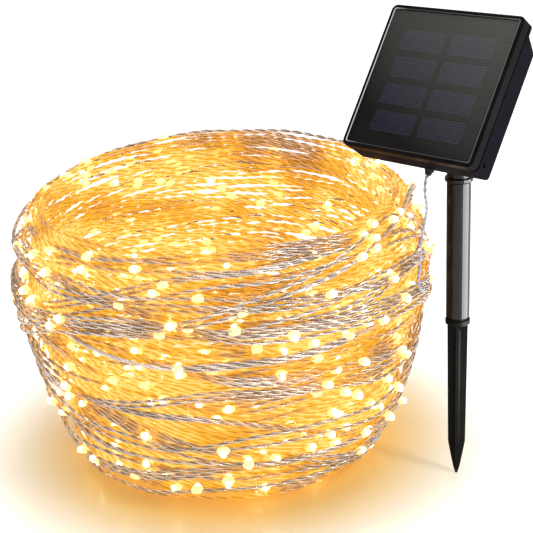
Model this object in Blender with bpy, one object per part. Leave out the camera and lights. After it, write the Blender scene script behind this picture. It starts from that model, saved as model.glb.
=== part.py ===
"""Solar string lights: a square solar head with a battery case, tilting on a
swivelling neck, a push-in ground stake, and the wound string of lights that
stands beside it.  Metres, +Z up, origin at the tip of the ground spike."""
import bpy
import bmesh
import math
from mathutils import Matrix, Vector

# ---------------------------------------------------------------- dimensions
MM = 0.001
GAP = 0.3 * MM                    # between touching pieces

# ground stake, on the Z axis
SPIKE_FIN_TOP = 119.0 * MM        # top of the crossed fins
SPIKE_TAPER_Z = 27.0 * MM         # where the fins start to close to the tip
SPIKE_HALF_TOP = 7.1 * MM         # half width of the fins at the top
SPIKE_HALF_LOW = 6.1 * MM         # half width where the point starts
SPIKE_FIN_T = 2.2 * MM            # thickness of a fin
FIN_TURN = math.radians(-9.3)     # the fins' turn about the stake
COLLAR_R = 8.6 * MM
COLLAR_TOP = 123.0 * MM
TUBE_R = 8.2 * MM
TUBE_BORE = 7.0 * MM
TUBE_Z0 = 124.5 * MM
TUBE_Z1 = 222.4 * MM
PLUG_R = 6.6 * MM                 # push-fit plugs inside the tube
RING_R = 9.6 * MM
RING_Z0 = 222.7 * MM
RING_Z1 = 225.7 * MM
NECK_Z0 = 226.0 * MM
NECK_Z1 = 252.0 * MM

# tilt hinge and head attitude
HINGE_Z = 272.2 * MM
HEAD_AZ = math.radians(43.1)      # turned to the left of the front
HEAD_EL = math.radians(35.6)      # how far the face looks upwards
TONGUE_HALF = 3.2 * MM
TONGUE_R = 6.5 * MM
EAR_IN = 3.6 * MM
EAR_OUT = 7.8 * MM
BOLT_R = 2.0 * MM
BOLT_HOLE = 2.35 * MM

# solar head, in its own axes: x right, y up the face, z out of the face,
# measured from the hinge axis
HEAD = 50.0 * MM                  # half of the square
HEAD_CORNER = 4.0 * MM
FACE_Z = 40.5 * MM
FRAME_Z0 = 32.5 * MM
TRAY_Z = 34.5 * MM
TRAY_HALF = 47.2 * MM
CASE_HALF = 49.5 * MM
CASE_Z0 = 14.5 * MM
CASE_Z1 = 31.2 * MM
CASE_TOP_Y = 42.0 * MM            # where the deep box starts
CASE_CHAMFER = 5.0 * MM
FLANGE_T = 2.5 * MM
WALL = 2.0 * MM
CELL_W = 32.6 * MM
CELL_H = 14.2 * MM
CELL_PITCH_X = 36.8 * MM
CELL_PITCH_Y = 18.9 * MM
SCREW_XY = ((-43.0, -43.0), (43.0, -43.0), (-43.0, 27.0), (43.0, 27.0))
BUTTON_XY = {"power_button": (-17.0, 21.0), "mode_button": (17.0, 21.0)}
BUTTON_R = 4.4 * MM
BATTERY_Y = -31.0 * MM
BATTERY_Z = 24.3 * MM
BATTERY_R = 7.0 * MM
BATTERY_L = 49.0 * MM
GLAND_X = 8.0 * MM
GLAND_Z = 19.5 * MM

# the wound string of lights: outer and inner radius over height
COIL_X = -163.0 * MM
COIL_Y = 76.7 * MM
COIL_PROFILE_OUT = ((0.5, 108.0), (6.0, 118.0), (25.0, 128.0), (60.0, 140.0), (100.0, 152.0),
                    (135.0, 157.5), (160.0, 156.5), (180.0, 152.0), (196.0, 144.0), (204.0, 136.0))
COIL_PROFILE_IN = ((204.0, 131.0), (198.0, 126.0), (185.0, 122.0), (150.0, 121.0),
                   (110.0, 118.0), (60.0, 108.0), (20.0, 98.0), (0.5, 92.0))
WIRE_R = 1.15 * MM

# ------------------------------------------------------------------- helpers
for old in list(bpy.data.objects):
    bpy.data.objects.remove(old, do_unlink=True)


def material(name, rgb, rough, metal=0.0):
    mat = bpy.data.materials.new(name)
    mat.use_nodes = True
    shader = mat.node_tree.nodes["Principled BSDF"]
    shader.inputs["Base Color"].default_value = (*rgb, 1.0)
    shader.inputs["Roughness"].default_value = rough
    shader.inputs["Metallic"].default_value = metal
    return mat


BLACK = material("black_plastic", (0.012, 0.012, 0.014), 0.35)
CASEBLK = material("case_plastic", (0.018, 0.018, 0.022), 0.5)
STAKEBLK = material("stake_plastic", (0.03, 0.03, 0.03), 0.3)
GLASS = material("panel_cover", (0.02, 0.022, 0.02), 0.08)
CELL = material("solar_silicon", (0.03, 0.025, 0.06), 0.3)
BOARD = material("board_black", (0.02, 0.02, 0.02), 0.5)
GREEN = material("board_green", (0.02, 0.12, 0.04), 0.45)
RUBBER = material("rubber", (0.02, 0.02, 0.02), 0.7)
STEEL = material("steel", (0.6, 0.6, 0.6), 0.3, 1.0)
SLEEVE = material("battery_sleeve", (0.08, 0.25, 0.12), 0.4)
WIRE = material("clear_wire", (0.75, 0.68, 0.6), 0.25)


def finish(name, bm, mat, angle=35.0):
    bmesh.ops.remove_doubles(bm, verts=bm.verts, dist=1e-6)
    bmesh.ops.recalc_face_normals(bm, faces=bm.faces)
    mesh = bpy.data.meshes.new(name)
    bm.to_mesh(mesh)
    bm.free()
    obj = bpy.data.objects.new(name, mesh)
    bpy.context.scene.collection.objects.link(obj)
    mesh.materials.append(mat)
    mesh.shade_smooth()
    mesh.set_sharp_from_angle(angle=math.radians(angle))
    return obj


def guide(obj):
    obj.hide_render = True
    obj.display_type = 'WIRE'
    return obj


def cut(obj, cutter, operation='DIFFERENCE'):
    mod = obj.modifiers.new(cutter.name, 'BOOLEAN')
    mod.operation = operation
    mod.solver = 'EXACT'
    mod.object = guide(cutter)


def rounded(hx, hy, r, n=5, cx=0.0, cy=0.0):
    pts = []
    for sx, sy, a0 in ((1, 1, 0), (-1, 1, 90), (-1, -1, 180), (1, -1, 270)):
        for i in range(n):
            a = math.radians(a0 + 90.0 * i / (n - 1))
            pts.append((cx + sx * (hx - r) + r * math.cos(a), cy + sy * (hy - r) + r * math.sin(a)))
    return pts


def prism(name, pts, z0, z1, mat, bevel=0.0, angle=35.0):
    """A flat outline carried from z0 to z1, with its rims eased by bevel."""
    bm = bmesh.new()
    low = [bm.verts.new((x, y, z0)) for x, y in pts]
    high = [bm.verts.new((x, y, z1)) for x, y in pts]
    bm.faces.new(low[::-1])
    bm.faces.new(high)
    n = len(pts)
    for i in range(n):
        bm.faces.new((low[i], low[(i + 1) % n], high[(i + 1) % n], high[i]))
    if bevel:
        rims = [e for e in bm.edges if abs(e.verts[0].co.z - e.verts[1].co.z) < 1e-7]
        bmesh.ops.bevel(bm, geom=rims, offset=bevel, segments=2, affect='EDGES', profile=0.5)
    return finish(name, bm, mat, angle)


def box(name, lo, hi, mat, bevel=0.0):
    return prism(name, [(lo[0], lo[1]), (hi[0], lo[1]), (hi[0], hi[1]), (lo[0], hi[1])], lo[2], hi[2], mat, bevel)


def turned(name, profile, mat, steps=32, cx=0.0, cy=0.0, closed=False, angle=35.0):
    """A solid of revolution about Z from (radius, z) pairs.  An open profile
    starts and ends on the axis; a closed one makes a ring."""
    bm = bmesh.new()
    rings = []
    for r, z in profile:
        if r < 1e-9:
            rings.append([bm.verts.new((cx, cy, z))])
        else:
            rings.append([bm.verts.new((cx + r * math.cos(2 * math.pi * i / steps),
                                        cy + r * math.sin(2 * math.pi * i / steps), z)) for i in range(steps)])
    pairs = list(zip(rings, rings[1:]))
    if closed:
        pairs.append((rings[-1], rings[0]))
    for a, b in pairs:
        for i in range(steps):
            j = (i + 1) % steps
            if len(a) == 1:
                bm.faces.new((a[0], b[j], b[i]))
            elif len(b) == 1:
                bm.faces.new((a[i], a[j], b[0]))
            else:
                bm.faces.new((a[i], a[j], b[j], b[i]))
    return finish(name, bm, mat, angle)


def lathe_x(obj):
    """Turns a shape made about Z so that it lies along X."""
    obj.data.transform(Matrix.Rotation(math.pi / 2, 4, 'Y'))


# ------------------------------------------------------------- head's own axes
N = Vector((-math.sin(HEAD_AZ) * math.cos(HEAD_EL), -math.cos(HEAD_AZ) * math.cos(HEAD_EL), math.sin(HEAD_EL)))
U = Vector((math.cos(HEAD_AZ), -math.sin(HEAD_AZ), 0.0))
V = N.cross(U)
HINGE = Vector((0.0, 0.0, HINGE_Z))
HEAD_FRAME = Matrix(((U.x, V.x, N.x, HINGE.x), (U.y, V.y, N.y, HINGE.y), (U.z, V.z, N.z, HINGE.z), (0, 0, 0, 1)))

head_axis = bpy.data.objects.new("head_axis", None)
bpy.context.scene.collection.objects.link(head_axis)
head_axis.matrix_world = HEAD_FRAME
neck_axis = bpy.data.objects.new("neck_axis", None)
bpy.context.scene.collection.objects.link(neck_axis)
neck_axis.matrix_world = Matrix.Translation((0, 0, NECK_Z0)) @ Matrix.Rotation(-HEAD_AZ, 4, 'Z')


def on_head(obj, place=(0.0, 0.0, 0.0)):
    obj.parent = head_axis
    obj.location = place
    return obj


# ----------------------------------------------------------------- front frame
frame = prism("front_frame", rounded(HEAD, HEAD, HEAD_CORNER), FRAME_Z0, FACE_Z, BLACK, bevel=0.9 * MM)
for k, (sx, sy) in enumerate(SCREW_XY):
    post = turned("post_%d" % k, [(0, 26.0 * MM), (3.0 * MM, 26.0 * MM), (3.0 * MM, 33.2 * MM), (0, 33.2 * MM)], BLACK,
                  16, sx * MM, sy * MM)
    cut(frame, on_head(post), 'UNION')
tray = prism("tray_cut", rounded(TRAY_HALF, TRAY_HALF, 1.5 * MM, 3), TRAY_Z, FACE_Z + 2 * MM, BLACK)
cut(frame, on_head(tray))
for k, (sx, sy) in enumerate(SCREW_XY):
    pilot = turned("pilot_%d" % k, [(0, 25.0 * MM), (1.4 * MM, 25.0 * MM), (1.4 * MM, 31.5 * MM), (0, 31.5 * MM)], BLACK,
                   12, sx * MM, sy * MM)
    cut(frame, on_head(pilot))
wire_hole = turned("wire_hole", [(0, 31 * MM), (2.0 * MM, 31 * MM), (2.0 * MM, 36 * MM), (0, 36 * MM)], BLACK, 12, 0, -8 * MM)
cut(frame, on_head(wire_hole))
on_head(frame)

# ------------------------------------------------------------ solar laminate
on_head(prism("solar_board", rounded(TRAY_HALF - 0.4 * MM, TRAY_HALF - 0.4 * MM, 1.3 * MM, 3),
              TRAY_Z + GAP, TRAY_Z + GAP + 1.4 * MM, BOARD))
cell_z = TRAY_Z + GAP + 1.4 * MM + GAP
for row in range(4):
    for col in range(2):
        x = (col - 0.5) * CELL_PITCH_X - 0.8 * MM
        y = (1.5 - row) * CELL_PITCH_Y - 1.0 * MM
        c = 1.0 * MM
        hx, hy = CELL_W / 2, CELL_H / 2
        cell = prism("solar_cell_%d" % (row * 2 + col + 1),
                     [(hx, hy - c), (hx - c, hy), (-hx + c, hy), (-hx, hy - c),
                      (-hx, -hy + c), (-hx + c, -hy), (hx - c, -hy), (hx, -hy + c)], 0.0, 0.4 * MM, CELL)
        on_head(cell, (x, y, cell_z))
on_head(prism("panel_glass", rounded(TRAY_HALF - 0.4 * MM, TRAY_HALF - 0.4 * MM, 1.3 * MM, 3),
              cell_z + 0.4 * MM + GAP, FACE_Z - 0.8 * MM, GLASS, bevel=0.3 * MM))

# --------------------------------------------------------------- seal gasket
gasket = prism("seal_gasket", rounded(CASE_HALF - 0.8 * MM, CASE_HALF - 0.8 * MM, 3.0 * MM),
               CASE_Z1 + GAP, FRAME_Z0 - GAP, RUBBER)
cut(gasket, on_head(prism("gasket_cut", rounded(CASE_HALF - 2.6 * MM, CASE_HALF - 2.6 * MM, 1.5 * MM, 3), 30 * MM, 34 * MM, RUBBER)))
on_head(gasket)

# ----------------------------------------------------------------- back case
bm = bmesh.new()
side = [(-CASE_HALF, CASE_Z0), (CASE_TOP_Y - CASE_CHAMFER, CASE_Z0), (CASE_TOP_Y, CASE_Z1 - FLANGE_T),
        (CASE_HALF, CASE_Z1 - FLANGE_T), (CASE_HALF, CASE_Z1), (-CASE_HALF, CASE_Z1)]
left = [bm.verts.new((-CASE_HALF, y, z)) for y, z in side]
right = [bm.verts.new((CASE_HALF, y, z)) for y, z in side]
bm.faces.new(left)
bm.faces.new(right[::-1])
for i in range(len(side)):
    j = (i + 1) % len(side)
    bm.faces.new((left[i], right[i], right[j], left[j]))
bmesh.ops.recalc_face_normals(bm, faces=bm.faces)
corner = [e for e in bm.edges if abs(abs(e.verts[0].co.x) - CASE_HALF) < 1e-6 and e.verts[0].co.x * e.verts[1].co.x > 0
          and abs(e.verts[0].co.y - e.verts[1].co.y) < 1e-6 and abs(abs(e.verts[0].co.y) - CASE_HALF) < 1e-6]
back_edges = [e for e in bm.edges if all(v.co.z < CASE_Z1 - 1e-6 for v in e.verts)
              and not all(v.co.y > CASE_TOP_Y - 1e-6 for v in e.verts)]
bmesh.ops.bevel(bm, geom=list(set(corner + back_edges)), offset=2.6 * MM, segments=3, affect='EDGES', profile=0.5)
case = finish("back_case", bm, CASEBLK)
bm = bmesh.new()
w = WALL
side = [(-CASE_HALF + w, CASE_Z0 + w), (CASE_TOP_Y - CASE_CHAMFER - w, CASE_Z0 + w), (CASE_TOP_Y - w, CASE_Z1 - FLANGE_T),
        (CASE_TOP_Y - w, CASE_Z1 + 3 * MM), (-CASE_HALF + w, CASE_Z1 + 3 * MM)]
left = [bm.verts.new((-CASE_HALF + w, y, z)) for y, z in side]
right = [bm.verts.new((CASE_HALF - w, y, z)) for y, z in side]
bm.faces.new(left)
bm.faces.new(right[::-1])
for i in range(len(side)):
    j = (i + 1) % len(side)
    bm.faces.new((left[i], right[i], right[j], left[j]))
cavity = finish("case_cavity", bm, CASEBLK)
cut(case, on_head(cavity))
for k, (sx, sy) in enumerate(SCREW_XY):
    boss = turned("boss_%d" % k, [(0, 16.0 * MM), (4.2 * MM, 16.0 * MM), (4.2 * MM, 25.7 * MM), (0, 25.7 * MM)], CASEBLK,
                  16, sx * MM, sy * MM)
    cut(case, on_head(boss), 'UNION')
for s in (-1, 1):
    x0, x1 = sorted((s * EAR_IN, s * EAR_OUT))
    pts = []
    for i in range(13):
        a = math.pi + math.pi * i / 12.0
        pts.append((TONGUE_R * math.cos(a), TONGUE_R * math.sin(a)))
    pts += [(TONGUE_R + 3 * MM, CASE_Z0 + 1.0 * MM), (-TONGUE_R - 3 * MM, CASE_Z0 + 1.0 * MM)]
    ear = prism("ear_%s" % ("a" if s < 0 else "b"), [(z, -y) for y, z in pts][::-1], x0, x1, CASEBLK)
    # outline drawn in (z, -y), thickness along x
    ear.data.transform(Matrix(((0, 0, 1, 0), (0, -1, 0, 0), (1, 0, 0, 0), (0, 0, 0, 1))))
    cut(case, on_head(ear), 'UNION')
for k, (sx, sy) in enumerate(SCREW_XY):
    hole = turned("screw_hole_%d" % k,
                  [(0, 12 * MM), (3.3 * MM, 12 * MM), (3.3 * MM, 18.6 * MM), (1.6 * MM, 18.6 * MM), (1.6 * MM, 28 * MM), (0, 28 * MM)],
                  CASEBLK, 16, sx * MM, sy * MM)
    cut(case, on_head(hole))
for key, (bx, by) in BUTTON_XY.items():
    hole = turned(key + "_hole", [(0, 12 * MM), (BUTTON_R + 0.4 * MM, 12 * MM), (BUTTON_R + 0.4 * MM, 18 * MM), (0, 18 * MM)],
                  CASEBLK, 20, bx * MM, by * MM)
    cut(case, on_head(hole))
axle = turned("axle_hole", [(0, -12 * MM), (BOLT_HOLE, -12 * MM), (BOLT_HOLE, 12 * MM), (0, 12 * MM)], CASEBLK, 20)
lathe_x(axle)
cut(case, on_head(axle))
outlet = turned("outlet_hole", [(0, -3 * MM), (1.6 * MM, -3 * MM), (1.6 * MM, 3 * MM), (0, 3 * MM)], CASEBLK, 12)
outlet.data.transform(Matrix.Rotation(math.pi / 2, 4, 'X'))
outlet.data.transform(Matrix.Translation((GLAND_X, -CASE_HALF + 1 * MM, GLAND_Z)))
cut(case, on_head(outlet))
dimple = turned("side_dimple", [(0, -1.0 * MM), (1.4 * MM, -1.0 * MM), (1.6 * MM, 2 * MM), (0, 2 * MM)], CASEBLK, 16)
lathe_x(dimple)
dimple.data.transform(Matrix.Translation((CASE_HALF, -43.5 * MM, 26.5 * MM)))
cut(case, on_head(dimple))
on_head(case)

# ------------------------------------------------------------------- screws
for k, (sx, sy) in enumerate(SCREW_XY):
    screw = turned("case_screw_%d" % (k + 1),
                   [(0, 16.9 * MM), (0.9 * MM, 16.9 * MM), (0.9 * MM, 16.2 * MM), (2.3 * MM, 16.2 * MM), (2.8 * MM, 16.8 * MM),
                    (2.8 * MM, 18.3 * MM), (1.05 * MM, 18.3 * MM), (1.05 * MM, 29.6 * MM), (0.4 * MM, 30.4 * MM), (0, 30.4 * MM)],
                   STEEL, 14, sx * MM, sy * MM)
    on_head(screw)

# ------------------------------------------------ buttons, switches and board
for key, (bx, by) in BUTTON_XY.items():
    button = turned(key, [(0, 12.9 * MM), (BUTTON_R - 1.4 * MM, 13.0 * MM), (BUTTON_R - 0.4 * MM, 13.3 * MM), (BUTTON_R, 14.0 * MM),
                          (BUTTON_R, 16.8 * MM), (BUTTON_R + 1.2 * MM, 16.8 * MM), (BUTTON_R + 1.2 * MM, 17.6 * MM),
                          (0, 17.6 * MM)], RUBBER, 24)
    on_head(button, (bx * MM, by * MM, 0.0))
for key, (bx, by) in (("power_switch", BUTTON_XY["power_button"]), ("mode_switch", BUTTON_XY["mode_button"])):
    sw = box(key, (-3 * MM, -3 * MM, 19.9 * MM), (3 * MM, 3 * MM, 22.0 * MM), BOARD, 0.2 * MM)
    plunger = turned(key + "_plunger", [(0, 19.0 * MM), (1.7 * MM, 19.0 * MM), (1.7 * MM, 20.5 * MM), (0, 20.5 * MM)], BOARD, 12)
    plunger.data.transform(Matrix.Translation((0, 0, 0)))
    cut(sw, on_head(plunger, (bx * MM, by * MM, 0.0)), 'UNION')
    on_head(sw, (bx * MM, by * MM, 0.0))
on_head(box("circuit_board", (-26 * MM, 6 * MM, 22.3 * MM), (26 * MM, 29 * MM, 23.8 * MM), GREEN))

# ------------------------------------------------------------------- battery
half = BATTERY_L / 2
cell = turned("battery", [(0, -half), (BATTERY_R - 0.6 * MM, -half), (BATTERY_R, -half + 0.6 * MM),
                          (BATTERY_R, half - 2.0 * MM), (BATTERY_R - 1.0 * MM, half - 1.2 * MM), (2.7 * MM, half - 1.2 * MM),
                          (2.7 * MM, half), (0, half)], SLEEVE, 24)
lathe_x(cell)
on_head(cell, (0, BATTERY_Y, BATTERY_Z))
on_head(box("battery_contact", (half + GAP, BATTERY_Y - 5 * MM, BATTERY_Z - 5 * MM),
            (half + GAP + 0.8 * MM, BATTERY_Y + 5 * MM, BATTERY_Z + 5 * MM), STEEL))
curve = bpy.data.curves.new("battery_spring", 'CURVE')
curve.dimensions = '3D'
curve.bevel_depth = 0.4 * MM
curve.bevel_resolution = 1
curve.use_fill_caps = True
spline = curve.splines.new('POLY')
TURNS, PER = 3, 12
spline.points.add(TURNS * PER)
for i in range(TURNS * PER + 1):
    t = i / (TURNS * PER)
    r = (5.0 - 2.2 * t) * MM
    a = 2 * math.pi * TURNS * t
    spline.points[i].co = (-half - 7.4 * MM + 6.4 * MM * t, BATTERY_Y + r * math.cos(a), BATTERY_Z + r * math.sin(a), 1.0)
curve.materials.append(STEEL)
spring = bpy.data.objects.new("battery_spring", curve)
bpy.context.scene.collection.objects.link(spring)
on_head(spring)

# --------------------------------------------------------------- cable gland
gland = turned("cable_gland", [(1.35 * MM, 0), (3.1 * MM, 0), (3.1 * MM, 1.2 * MM), (2.6 * MM, 1.7 * MM),
                               (2.0 * MM, 4.0 * MM), (1.35 * MM, 4.0 * MM)], RUBBER, 20, closed=True)
gland.data.transform(Matrix.Rotation(math.pi / 2, 4, 'X'))
on_head(gland, (GLAND_X, -CASE_HALF - GAP, GLAND_Z))

# --------------------------------------------------------- hinge bolt and knob
bolt = turned("hinge_bolt", [(0, -14.5 * MM), (BOLT_R - 0.4 * MM, -14.5 * MM), (BOLT_R, -14.1 * MM), (BOLT_R, 8.1 * MM),
                             (3.9 * MM, 8.1 * MM), (3.9 * MM, 9.8 * MM), (3.0 * MM, 10.8 * MM), (0, 10.8 * MM)], STEEL, 20)
lathe_x(bolt)
on_head(bolt)
knob_pts = []
for i in range(48):
    a = 2 * math.pi * i / 48
    r = (6.0 + 0.7 * math.cos(6 * a)) * MM
    knob_pts.append((r * math.cos(a), r * math.sin(a)))
knob = prism("hinge_knob", knob_pts, -13.3 * MM, -8.1 * MM, BLACK, bevel=0.6 * MM)
bore = turned("knob_bore", [(0, -15 * MM), (BOLT_HOLE, -15 * MM), (BOLT_HOLE, -7 * MM), (0, -7 * MM)], BLACK, 20)
lathe_x(knob)
lathe_x(bore)
cut(knob, on_head(bore))
on_head(knob)

# ---------------------------------------------------------------------- neck
h = HINGE_Z - NECK_Z0
body = turned("neck_post", [(0, -14 * MM), (PLUG_R - 0.5 * MM, -14 * MM), (PLUG_R, -13.5 * MM), (PLUG_R, 0),
                            (TUBE_R, 0), (TUBE_R, NECK_Z1 - NECK_Z0 - 3 * MM), (TUBE_R - 1.2 * MM, NECK_Z1 - NECK_Z0),
                            (0, NECK_Z1 - NECK_Z0)], STAKEBLK, 32)
pts = [(-TONGUE_R, NECK_Z1 - NECK_Z0 - 5 * MM), (TONGUE_R, NECK_Z1 - NECK_Z0 - 5 * MM)]
for i in range(13):
    a = math.pi * i / 12.0
    pts.append((TONGUE_R * math.cos(a), h + TONGUE_R * math.sin(a)))
tongue = prism("tongue", pts, -TONGUE_HALF, TONGUE_HALF, STAKEBLK)
tongue.data.transform(Matrix(((0, 0, 1, 0), (1, 0, 0, 0), (0, 1, 0, 0), (0, 0, 0, 1))))
tongue.parent = neck_axis
cut(body, tongue, 'UNION')
eye = turned("tongue_eye", [(0, -9 * MM), (BOLT_HOLE, -9 * MM), (BOLT_HOLE, 9 * MM), (0, 9 * MM)], STAKEBLK, 20)
lathe_x(eye)
eye.parent = neck_axis
eye.location = (0, 0, h)
cut(body, eye)
body.parent = neck_axis

turned("neck_ring", [(PLUG_R + 0.3 * MM, RING_Z0), (RING_R - 0.5 * MM, RING_Z0), (RING_R, RING_Z0 + 0.6 * MM),
                     (RING_R, RING_Z1 - 0.6 * MM), (RING_R - 0.5 * MM, RING_Z1), (PLUG_R + 0.3 * MM, RING_Z1)],
       STAKEBLK, 32, closed=True)

# --------------------------------------------------------------------- stake
turned("stake_tube", [(TUBE_BORE, TUBE_Z0), (TUBE_R - 0.4 * MM, TUBE_Z0), (TUBE_R, TUBE_Z0 + 0.4 * MM),
                      (TUBE_R, TUBE_Z1 - 0.4 * MM), (TUBE_R - 0.4 * MM, TUBE_Z1), (TUBE_BORE, TUBE_Z1)],
       STAKEBLK, 32, closed=True)

spike = turned("ground_spike", [(0, SPIKE_FIN_TOP - 4 * MM), (6.6 * MM, SPIKE_FIN_TOP - 1 * MM), (COLLAR_R - 0.6 * MM, SPIKE_FIN_TOP), (COLLAR_R, SPIKE_FIN_TOP + 0.6 * MM),
                                (COLLAR_R, COLLAR_TOP - 0.5 * MM), (COLLAR_R - 0.5 * MM, COLLAR_TOP), (7.2 * MM, COLLAR_TOP),
                                (7.2 * MM, TUBE_Z0 - GAP), (PLUG_R, TUBE_Z0 - GAP), (PLUG_R, TUBE_Z0 + 20 * MM),
                                (PLUG_R - 0.8 * MM, TUBE_Z0 + 21 * MM), (0, TUBE_Z0 + 21 * MM)], STAKEBLK, 32)
outline = [(SPIKE_HALF_TOP, SPIKE_FIN_TOP + 1 * MM), (SPIKE_HALF_LOW, SPIKE_TAPER_Z)]
for i in range(1, 8):
    t = i / 8.0
    outline.append((SPIKE_HALF_LOW * math.sqrt(1 - t) * (1 - 0.25 * t), SPIKE_TAPER_Z * (1 - t)))
pts = [(x, z) for x, z in outline] + [(0.0, 0.0)] + [(-x, z) for x, z in outline[::-1]]
for k in range(2):
    fin = prism("fin_%d" % k, pts, -SPIKE_FIN_T / 2, SPIKE_FIN_T / 2, STAKEBLK, bevel=0.0)
    fin.data.transform(Matrix.Rotation(math.pi / 2, 4, 'X'))
    fin.data.transform(Matrix.Rotation(math.pi / 2 * k + FIN_TURN, 4, 'Z'))
    cut(spike, fin, 'UNION')
core = turned("spike_core", [(0, 3 * MM), (1.2 * MM, 8 * MM), (2.4 * MM, SPIKE_TAPER_Z), (2.6 * MM, SPIKE_FIN_TOP - 7 * MM), (0, SPIKE_FIN_TOP + 1 * MM)],
              STAKEBLK, 12)
cut(spike, core, 'UNION')

# -------------------------------------------------- wound string of lights
ring = [(r * MM, z * MM) for z, r in COIL_PROFILE_OUT] + [(r * MM, z * MM) for z, r in COIL_PROFILE_IN]
turned("string_coil", ring, WIRE, 48, cx=COIL_X, cy=COIL_Y, closed=True, angle=60.0)


def catmull(route, per):
    out = []
    for i in range(len(route) - 1):
        p0 = route[max(i - 1, 0)]
        p1, p2 = route[i], route[i + 1]
        p3 = route[min(i + 2, len(route) - 1)]
        for k in range(per):
            t = k / per
            out.append(0.5 * ((2 * p1) + (p2 - p0) * t + (2 * p0 - 5 * p1 + 4 * p2 - p3) * t * t
                              + (3 * p1 - p0 - 3 * p2 + p3) * t ** 3))
    out.append(route[-1])
    return out


# the lead hangs from the gland to the shoulder of the wound string
GLAND_TIP = HEAD_FRAME @ Vector((GLAND_X, -CASE_HALF - GAP - 4.0 * MM - GAP, GLAND_Z))
LEAD_ROUTE = [GLAND_TIP, GLAND_TIP - V * 4.0 * MM,
              Vector((-0.0286, -0.0436, 0.2280)), Vector((-0.0272, -0.0410, 0.2190)),
              Vector((-0.0274, -0.0360, 0.2090)), Vector((-0.0282, -0.0310, 0.1990)),
              Vector((-0.0288, -0.0260, 0.1890)), Vector((-0.0288, -0.0210, 0.1785)),
              Vector((-0.0283, -0.0165, 0.1685)), Vector((-0.0290, -0.0138, 0.1600))]
lead = bpy.data.curves.new("lead_wire", 'CURVE')
lead.dimensions = '3D'
lead.bevel_depth = WIRE_R
lead.bevel_resolution = 2
lead.use_fill_caps = True
spline = lead.splines.new('POLY')
points = catmull(LEAD_ROUTE, 3)
spline.points.add(len(points) - 1)
for point, co in zip(spline.points, points):
    point.co = (co.x, co.y, co.z, 1.0)
lead.materials.append(WIRE)
lead_obj = bpy.data.objects.new("lead_wire", lead)
bpy.context.scene.collection.objects.link(lead_obj)
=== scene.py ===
import math

import bpy
import numpy as np
from mathutils import Matrix, Vector


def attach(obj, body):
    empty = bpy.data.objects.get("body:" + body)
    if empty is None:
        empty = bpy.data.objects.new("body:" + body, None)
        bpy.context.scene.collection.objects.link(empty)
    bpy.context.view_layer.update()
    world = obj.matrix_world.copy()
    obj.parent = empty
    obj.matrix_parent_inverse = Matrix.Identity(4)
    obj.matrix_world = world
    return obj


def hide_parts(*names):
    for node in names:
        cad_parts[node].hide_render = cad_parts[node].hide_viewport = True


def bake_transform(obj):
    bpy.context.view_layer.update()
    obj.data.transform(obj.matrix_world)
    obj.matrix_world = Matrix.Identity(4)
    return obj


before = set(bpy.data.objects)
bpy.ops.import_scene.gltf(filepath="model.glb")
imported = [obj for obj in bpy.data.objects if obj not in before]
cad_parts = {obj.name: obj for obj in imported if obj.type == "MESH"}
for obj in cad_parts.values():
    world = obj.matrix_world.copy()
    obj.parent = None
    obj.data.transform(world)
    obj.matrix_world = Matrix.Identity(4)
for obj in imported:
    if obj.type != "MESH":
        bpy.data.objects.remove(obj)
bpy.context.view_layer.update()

MM = 0.001
scene = bpy.context.scene
rng = np.random.default_rng(11)

# ------------------------------------------------------------------ head axes
AZ, EL = math.radians(43.1), math.radians(35.6)
HINGE = Vector((0.0, 0.0, 0.2722))
N = Vector((-math.sin(AZ) * math.cos(EL), -math.cos(AZ) * math.cos(EL), math.sin(EL)))
U = Vector((math.cos(AZ), -math.sin(AZ), 0.0))
V = N.cross(U)


def head_point(x, y, z):
    return HINGE + U * x + V * y + N * z


# -------------------------------------------------------------------- camera
PITCH, ROLL, FOCAL = math.radians(21.0), math.radians(-2.8), 1258.0
fwd = Vector((0.0, math.cos(PITCH), -math.sin(PITCH)))
right0 = Vector((1.0, 0.0, 0.0))
up0 = right0.cross(fwd)
right = right0 * math.cos(ROLL) + up0 * math.sin(ROLL)
up = -right0 * math.sin(ROLL) + up0 * math.cos(ROLL)
cam_data = bpy.data.cameras.new("photo_camera")
cam_data.sensor_width = 36.0
cam_data.sensor_fit = 'HORIZONTAL'
cam_data.lens = FOCAL / 533.0 * 36.0
cam_data.clip_start = 0.01
cam_data.clip_end = 50.0
cam = bpy.data.objects.new("photo_camera", cam_data)
scene.collection.objects.link(cam)
cam.matrix_world = Matrix(((right.x, up.x, -fwd.x, -0.1310), (right.y, up.y, -fwd.y, -0.8015),
                           (right.z, up.z, -fwd.z, 0.4755), (0, 0, 0, 1)))
scene.camera = cam


# ------------------------------------------------------------- mesh utilities
def link(mesh, name, mat=None):
    obj = bpy.data.objects.new(name, mesh)
    scene.collection.objects.link(obj)
    if mat:
        mesh.materials.append(mat)
    return obj


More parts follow.
